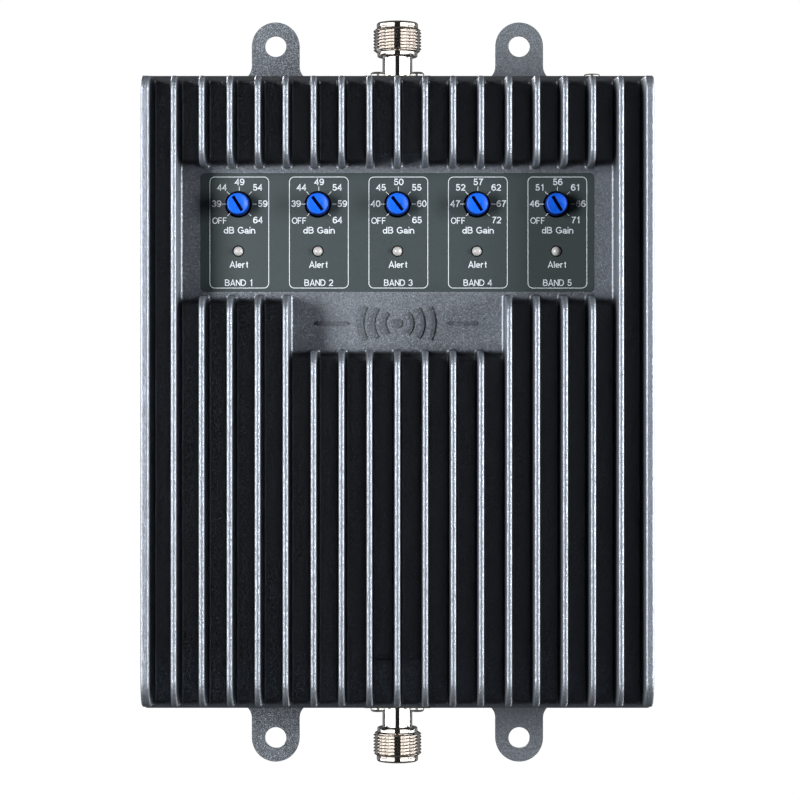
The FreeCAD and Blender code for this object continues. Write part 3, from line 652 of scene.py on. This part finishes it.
# one-line letters and digits: (advance width, strokes) with the capital height from 0 to 1
LO, HI = 0.075, 0.925
GLYPHS = {
    "0": (0.50, [ring_of(0.25, 0.5, 0.25, HI - 0.5)]),
    "1": (0.50, [[(0.09, 0.74), (0.29, HI), (0.29, 0.0)]]),
    "2": (0.50, [arc(0.25, 0.67, 0.235, 0.255, 165, -35) + [(0.03, LO + 0.03), (0.02, LO), (0.52, LO)]]),
    "3": (0.50, [arc(0.24, 0.705, 0.21, 0.22, 160, -85), arc(0.24, 0.30, 0.25, 0.225, 88, -165)]),
    "4": (0.52, [[(0.385, 0.0), (0.385, HI), (0.0, 0.32), (0.54, 0.32)]]),
    "5": (0.50, [[(0.47, HI), (0.10, HI), (0.045, 0.47)] + arc(0.24, 0.335, 0.25, 0.26, 130, -160)]),
    "6": (0.50, [ring_of(0.255, 0.335, 0.24, 0.26), arc(0.285, 0.5, 0.275, 0.425, 48, 205)]),
    "7": (0.50, [[(0.0, HI), (0.50, HI), (0.33, 0.62), (0.22, 0.33), (0.17, 0.0)]]),
    "8": (0.50, [ring_of(0.25, 0.715, 0.20, 0.21), ring_of(0.25, 0.29, 0.25, 0.215)]),
    "9": (0.50, [ring_of(0.245, 0.665, 0.24, 0.26), arc(0.215, 0.5, 0.275, 0.425, -132, 25)]),
    "O": (0.70, [ring_of(0.35, 0.5, 0.35, HI - 0.5, 26)]),
    "F": (0.50, [[(0.0, 0.0), (0.0, HI), (0.48, HI)], [(0.0, 0.49), (0.41, 0.49)]]),
    "B": (0.54, [[(0.0, LO), (0.0, HI), (0.27, HI)] + arc(0.29, 0.725, 0.20, 0.20, 90, -90, 7) + [(0.0, 0.525)],
                 [(0.0, 0.525), (0.29, 0.525)] + arc(0.30, 0.30, 0.235, 0.225, 90, -90, 8) + [(0.0, LO)]]),
    "A": (0.62, [[(0.0, 0.0), (0.31, HI + 0.03), (0.62, 0.0)], [(0.13, 0.30), (0.49, 0.30)]]),
    "N": (0.52, [[(0.0, 0.0), (0.0, HI)], [(0.0, HI), (0.52, LO)], [(0.52, 0.0), (0.52, 1.0)]]),
    "D": (0.58, [[(0.0, LO), (0.0, HI), (0.22, HI)] + arc(0.24, 0.5, 0.34, 0.425, 90, -90, 10) + [(0.0, LO)]]),
    "G": (0.68, [arc(0.35, 0.5, 0.34, 0.425, 42, 318, 16) + [(0.66, 0.22), (0.66, 0.46), (0.38, 0.46)]]),
    "d": (0.50, [ring_of(0.22, 0.345, 0.215, 0.27), [(0.45, 0.0), (0.45, 1.0)]]),
    "a": (0.46, [arc(0.22, 0.43, 0.20, 0.20, 165, 0, 8) + [(0.42, 0.18), (0.46, 0.0)], ring_of(0.21, 0.215, 0.20, 0.145)]),
    "i": (0.04, [[(0.02, 0.0), (0.02, 0.70)], [(0.02, 0.86), (0.02, 1.0)]]),
    "n": (0.42, [[(0.0, 0.0), (0.0, 0.70)], arc(0.21, 0.42, 0.21, 0.21, 180, 0, 8) + [(0.42, 0.0)]]),
    "l": (0.04, [[(0.02, 0.0), (0.02, 1.0)]]),
    "e": (0.46, [[(0.02, 0.37)] + [(0.45, 0.37)] + arc(0.23, 0.345, 0.225, 0.27, 15, 318, 14)]),
    "r": (0.28, [[(0.0, 0.0), (0.0, 0.70)], arc(0.20, 0.42, 0.20, 0.21, 180, 75, 6)]),
    "t": (0.28, [[(0.12, 0.92), (0.12, 0.19)] + arc(0.23, 0.18, 0.11, 0.115, 180, 265, 5), [(0.0, 0.64), (0.26, 0.64)]]),
    " ": (0.22, []),
}
SPACING = 0.17


def ribbon(bm, pts, half, y0, y1):
    """A flat stroke of ink along pts, mitred at its corners, in millimetres."""
    closed = pts[-1] == "closed"
    if closed:
        pts = pts[:-1]
    n = len(pts)
    rows = []
    for i in range(n):
        x, z = pts[i]
        if closed or 0 < i < n - 1:
            ax, az = pts[i - 1]
            cx, cz = pts[(i + 1) % n]
        elif i == 0:
            (ax, az), (cx, cz) = (2 * x - pts[1][0], 2 * z - pts[1][1]), pts[1]
        else:
            (ax, az), (cx, cz) = pts[i - 1], (2 * x - pts[i - 1][0], 2 * z - pts[i - 1][1])
        u = Vector((x - ax, z - az)).normalized()
        v = Vector((cx - x, cz - z)).normalized()
        t = (u + v)
        t = t.normalized() if t.length > 1e-6 else u
        m = Vector((-t.y, t.x))
        k = max(0.45, abs(m.dot(Vector((-u.y, u.x)))))
        off = m * (half / k)
        rows.append([bm.verts.new((q[0] * MM, y * MM, q[1] * MM))
                     for q, y in (((x + off.x, z + off.y), y0), ((x + off.x, z + off.y), y1),
                                  ((x - off.x, z - off.y), y1), ((x - off.x, z - off.y), y0))])
    rings_to_faces(bm, rows, closed=closed)
    if not closed:
        bm.faces.new(rows[0])
        bm.faces.new(list(reversed(rows[-1])))


def letters(bm, words, x, z, cap, width, stroke):
    """Prints words centred on (x, z) mm, cap mm high and width mm wide."""
    pen, items = 0.0, []
    for ch in words:
        adv, strokes = GLYPHS[ch]
        items.append((pen, strokes))
        pen += adv + SPACING
    total = pen - SPACING
    sx = (width - stroke) / total
    n = 0
    for x0, strokes in items:
        for st in strokes:
            pts = [q if q == "closed" else (x + (x0 + q[0] - total / 2) * sx, z + (q[1] - 0.5) * cap) for q in st]
            ribbon(bm, pts, stroke / 2, INK_Y0, INK_Y1 - 0.002 * (n % 3))
            n += 1


def loop_points(hw, z0, z1, r, cx):
    pts = []
    for ax, az, a0 in ((hw - r, z1 - r, 0), (-hw + r, z1 - r, 90), (-hw + r, z0 + r, 180), (hw - r, z0 + r, 270)):
        for k in range(9):
            a = math.radians(a0 + 11.25 * k)
            pts.append((cx + ax + r * math.cos(a), az + r * math.sin(a)))
    return pts


def dial_print(i):
    cx = DIAL_X[i] + PRINT_DX
    bm = bmesh.new()
    ribbon(bm, loop_points(9.62, 33.95, 70.25, 1.6, cx) + ["closed"], 0.11, INK_Y0, INK_Y1)
    kz = 61.3
    for deg in (-135, -90, -45, 0, 45, 90, 135):
        a = math.radians(deg)
        r0, r1 = (4.35, 5.45) if abs(deg) == 135 else (4.4, 5.75)
        ribbon(bm, [(cx + math.sin(a) * r, kz + 0.1 + math.cos(a) * r) for r in (r0, r1)], 0.10, INK_Y0, INK_Y1)
    places = [(-7.55, kz + 0.1), (-5.75, kz + 5.4), (0.0, kz + 7.2), (5.9, kz + 5.4), (7.55, kz + 0.1), (6.0, kz - 5.25)]
    for w, (dx, z) in zip(DIAL_NUMBERS[i], places):
        letters(bm, w, cx + dx + 0.1, z + 0.15, 2.15, 3.2, 0.32)
    letters(bm, "OFF", cx - 6.4, kz - 5.3, 2.1, 4.85, 0.26)
    letters(bm, "dB Gain", cx + 0.05, 52.85, 2.2, 10.3, 0.30)
    letters(bm, "Alert", cx - 0.05, 41.65, 2.15, 6.3, 0.30)
    letters(bm, "BAND %d" % (i + 1), cx, 35.7, 2.15, 9.4, 0.27)
    o = make_object("dial_print_%d" % (i + 1), bm, MAT["ink"], 30.0)
    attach(o, "case")
    return o


for i in range(5):
    dial_print(i)


# ------------------------------------------------------------------ stage, light, camera
def studio_shell():
    """Pale floor that runs up into a pale wall and ceiling, seen by the camera only."""
    m, nt, b = new_mat("pale_floor")
    co = coords(nt)
    t = noise(nt, co, 0.8, 2.0)
    base = mix_col(nt, t, (0.99, 0.99, 0.99), (1.0, 1.0, 1.0))
    for n in list(nt.nodes):
        if n.type == "BSDF_PRINCIPLED":
            nt.nodes.remove(n)
    em = node(nt, "ShaderNodeEmission", Strength=1.03)
    link(nt, base, em.inputs["Color"])
    link(nt, em.outputs[0], nt.nodes["Material Output"].inputs["Surface"])
    bm = bmesh.new()
    n = 64
    prof = [(0.0, -0.30), (4.0, -0.30)]
    for k in range(1, 9):
        a = math.radians(90 * k / 8)
        prof.append((4.0 + 1.5 * math.sin(a), -0.30 + 1.5 * (1 - math.cos(a))))
    prof += [(5.5, 4.0), (4.4, 6.2), (2.2, 7.2), (0.0, 7.4)]
    rings = [[bm.verts.new((r * math.cos(2 * math.pi * k / n), r * math.sin(2 * math.pi * k / n), z)) for k in range(n)]
             for r, z in prof[1:-1]]
    rings_to_faces(bm, rings, closed=False)
    for ring, z in ((rings[0], prof[0][1]), (rings[-1], prof[-1][1])):
        c = bm.verts.new((0, 0, z))
        for k in range(n):
            bm.faces.new((ring[k], ring[(k + 1) % n], c))
    me = bpy.data.meshes.new("studio_shell")
    bm.to_mesh(me)
    bm.free()
    o = bpy.data.objects.new("studio_shell", me)
    bpy.context.scene.collection.objects.link(o)
    me.materials.append(m)
    o.visible_diffuse = False
    o.visible_glossy = False
    o.visible_transmission = False
    o.visible_volume_scatter = False
    o.visible_shadow = False


studio_shell()


def area(name, loc, target, size_x, size_y, power, colour=(1.0, 1.0, 1.0), spread=180.0):
    l = bpy.data.lights.new(name, "AREA")
    l.shape = "RECTANGLE"
    l.size, l.size_y = size_x, size_y
    l.energy = power
    l.color = colour
    l.spread = math.radians(spread)
    o = bpy.data.objects.new(name, l)
    o.location = loc
    d = Vector(target) - Vector(loc)
    o.rotation_euler = d.to_track_quat("-Z", "Y").to_euler()
    o.visible_camera = False
    bpy.context.scene.collection.objects.link(o)
    return o


LIGHTS = (
    ("softbox_left", (-0.590, -0.575, 0.055), (0, -0.035, 0.0), 0.25, 0.47, 14.1, (0.97, 0.985, 1.0)),
    ("softbox_right", (0.752, -0.309, 0.055), (0, -0.035, 0.0), 0.15, 0.47, 15.4, (0.97, 0.985, 1.0)),
    ("rear_softbox", (-0.85, 1.05, 0.55), (0, 0, 0), 0.9, 0.8, 26.0, (0.98, 0.99, 1.0)),
    ("rear_softbox_low", (0.9, 1.0, -0.2), (0, 0, 0), 1.2, 1.2, 14.0, (0.98, 0.99, 1.0)),
)

# the plated metal mirrors tall white cards instead of the small softboxes
METAL = bpy.data.collections.new("plated_metal")
PAINT = bpy.data.collections.new("all_but_plated_metal")
for o in list(bpy.context.scene.collection.all_objects):
    if o.type == "MESH" and ("_jack_body" in o.name or "connector_screws" in o.name or "ground_" in o.name):
        METAL.objects.link(o)
        PAINT.objects.link(o)
for c in PAINT.collection_objects:
    c.light_linking.link_state = "EXCLUDE"
for row in LIGHTS:
    area(*row).light_linking.receiver_collection = PAINT


def card(name, deg, width, power, height=0.62, dist=0.80):
    """A white card facing the object, deg degrees round from the front."""
    a = math.radians(deg)
    o = area(name, (dist * math.sin(a), -dist * math.cos(a), 0.0), (0, -0.0115, 0), width, height, power)
    o.light_linking.receiver_collection = METAL


for side, k in (("left", -1), ("right", 1)):
    card("card_front_" + side, k * 40.0, 0.70, 3.6)
    card("card_side_" + side, k * 88.0, 0.62, 2.8)
    card("card_rear_" + side, k * 140.0, 0.45, 0.15)


def world():
    """Dim room: darkest in front of the object, pale behind it."""
    w = bpy.data.worlds.new("studio")
    w.use_nodes = True
    nt = w.node_tree
    bg = nt.nodes["Background"]
    tc = nt.nodes.new("ShaderNodeTexCoord")
    sep = nt.nodes.new("ShaderNodeSeparateXYZ")
    link(nt, tc.outputs["Generated"], sep.inputs[0])
    y = maths(nt, "MULTIPLY", maths(nt, "ADD", sep.outputs["Y"], 1.0), 0.5)
    col = ramp(nt, y, [(0.0, (0.018, 0.020, 0.022)), (0.12, (0.024, 0.026, 0.029)), (0.40, (0.10, 0.107, 0.117)),
                       (0.55, (0.16, 0.17, 0.18)), (0.72, (0.07, 0.073, 0.078)), (0.95, (0.08, 0.083, 0.088))])
    link(nt, col, bg.inputs["Color"])
    bg.inputs["Strength"].default_value = 1.0
    bpy.context.scene.world = w


world()

cam = bpy.data.cameras.new("camera")
cam.sensor_width = 36.0
cam.sensor_fit = "HORIZONTAL"
cam.lens = 119.9
cam.clip_start = 0.01
cam.clip_end = 30.0
co_ = bpy.data.objects.new("camera", cam)
co_.location = (0.00086, -0.894, -0.00266)
co_.rotation_euler = (math.radians(90), 0, 0)
bpy.context.scene.collection.objects.link(co_)
bpy.context.scene.camera = co_
bpy.context.scene.view_settings.view_transform = "Standard"
